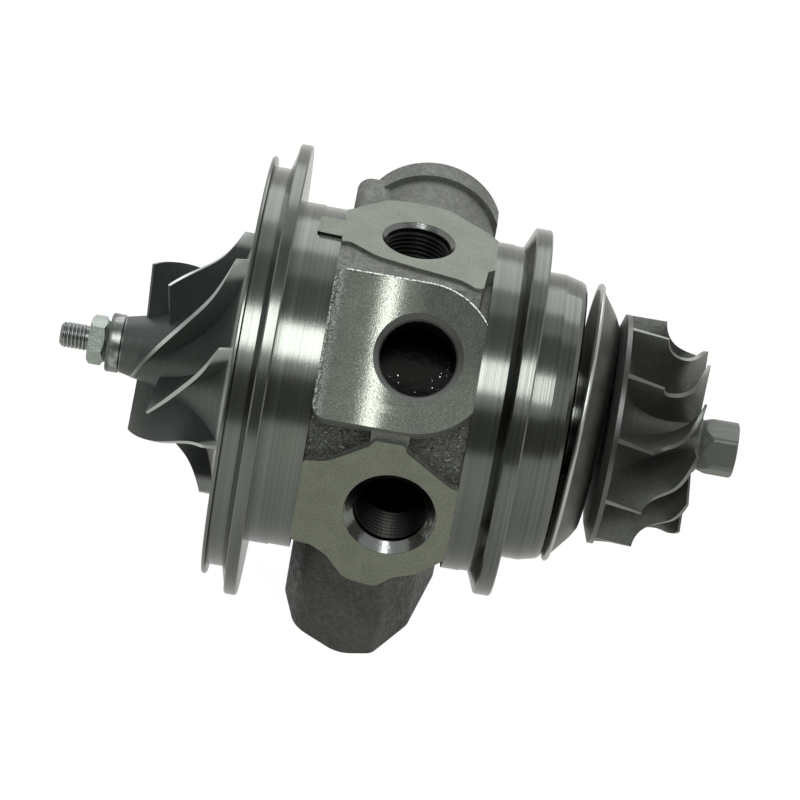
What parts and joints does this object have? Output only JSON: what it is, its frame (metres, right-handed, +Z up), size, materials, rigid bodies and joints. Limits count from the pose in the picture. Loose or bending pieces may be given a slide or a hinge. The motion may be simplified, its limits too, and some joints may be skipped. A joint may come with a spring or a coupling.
{
  "type": "turbo cartridge",
  "caption": "Turbocharger cartridge: water-cooled bearing housing with V-band and snap-ring flanges, carrying a bladed compressor and turbine rotor on floating bushes.",
  "frame": {"origin": "on the shaft axis, in the mating face of the turbine flange, where the pilot begins", "axes": "+X along the shaft towards the turbine, +Z up through the oil inlet, -Y towards the near coolant port"},
  "size_m": [0.1425, 0.0948, 0.0974],
  "materials": {
    "cast_housing": "cast iron, machined on flanges, bands and port pads",
    "compressor_alloy": "cast, dark, with bright blade edges",
    "turbine_alloy": "cast nickel alloy, dark",
    "shaft_steel": "ground",
    "plated_nut": "zinc plated",
    "shield_steel": "pressed sheet, dark",
    "insert_alloy": "turned",
    "sheet_steel": "pressed sheet",
    "spring_steel": "blued spring steel",
    "fastener_steel": "black steel",
    "bearing_bronze": "turned bronze",
    "seal_rubber": "black rubber"
  },
  "bodies": {
    "housing": {"bearing_housing": "cast_housing", "seal_insert": "insert_alloy", "insert_o_ring": "seal_rubber", "insert_snap_ring": "spring_steel", "oil_deflector": "sheet_steel", "thrust_bearing": "bearing_bronze", "thrust_bearing_screws": "fastener_steel", "bearing_retaining_ring_1": "spring_steel", "bearing_retaining_ring_2": "spring_steel", "bearing_retaining_ring_3": "spring_steel", "bearing_retaining_ring_4": "spring_steel", "compressor_seal_ring_1": "spring_steel", "compressor_seal_ring_2": "spring_steel", "turbine_seal_ring": "spring_steel"},
    "rotor": {"turbine_wheel": "turbine_alloy", "rotor_shaft": "shaft_steel", "thrust_ring": "shaft_steel", "thrust_sleeve": "shaft_steel", "compressor_wheel": "compressor_alloy", "compressor_nut": "plated_nut"},
    "compressor_side_bush": {"journal_bearing_compressor_side": "bearing_bronze"},
    "turbine_side_bush": {"journal_bearing_turbine_side": "bearing_bronze"},
    "heat_shield": {"heat_shield": "shield_steel"}
  },
  "joints": [
    {"name": "rotor_spin", "type": "hinge", "parent": "housing", "child": "rotor", "pos_m": [0, 0, 0], "axis": [1, 0, 0], "continuous": true},
    {"name": "compressor_side_bush_spin", "type": "hinge", "parent": "housing", "child": "compressor_side_bush", "pos_m": [-0.0344, 0, 0], "axis": [1, 0, 0], "continuous": true},
    {"name": "turbine_side_bush_spin", "type": "hinge", "parent": "housing", "child": "turbine_side_bush", "pos_m": [-0.0116, 0, 0], "axis": [1, 0, 0], "continuous": true},
    {"name": "heat_shield_turn", "type": "hinge", "parent": "housing", "child": "heat_shield", "pos_m": [0.0141, 0, 0], "axis": [1, 0, 0], "continuous": true}
  ]
}
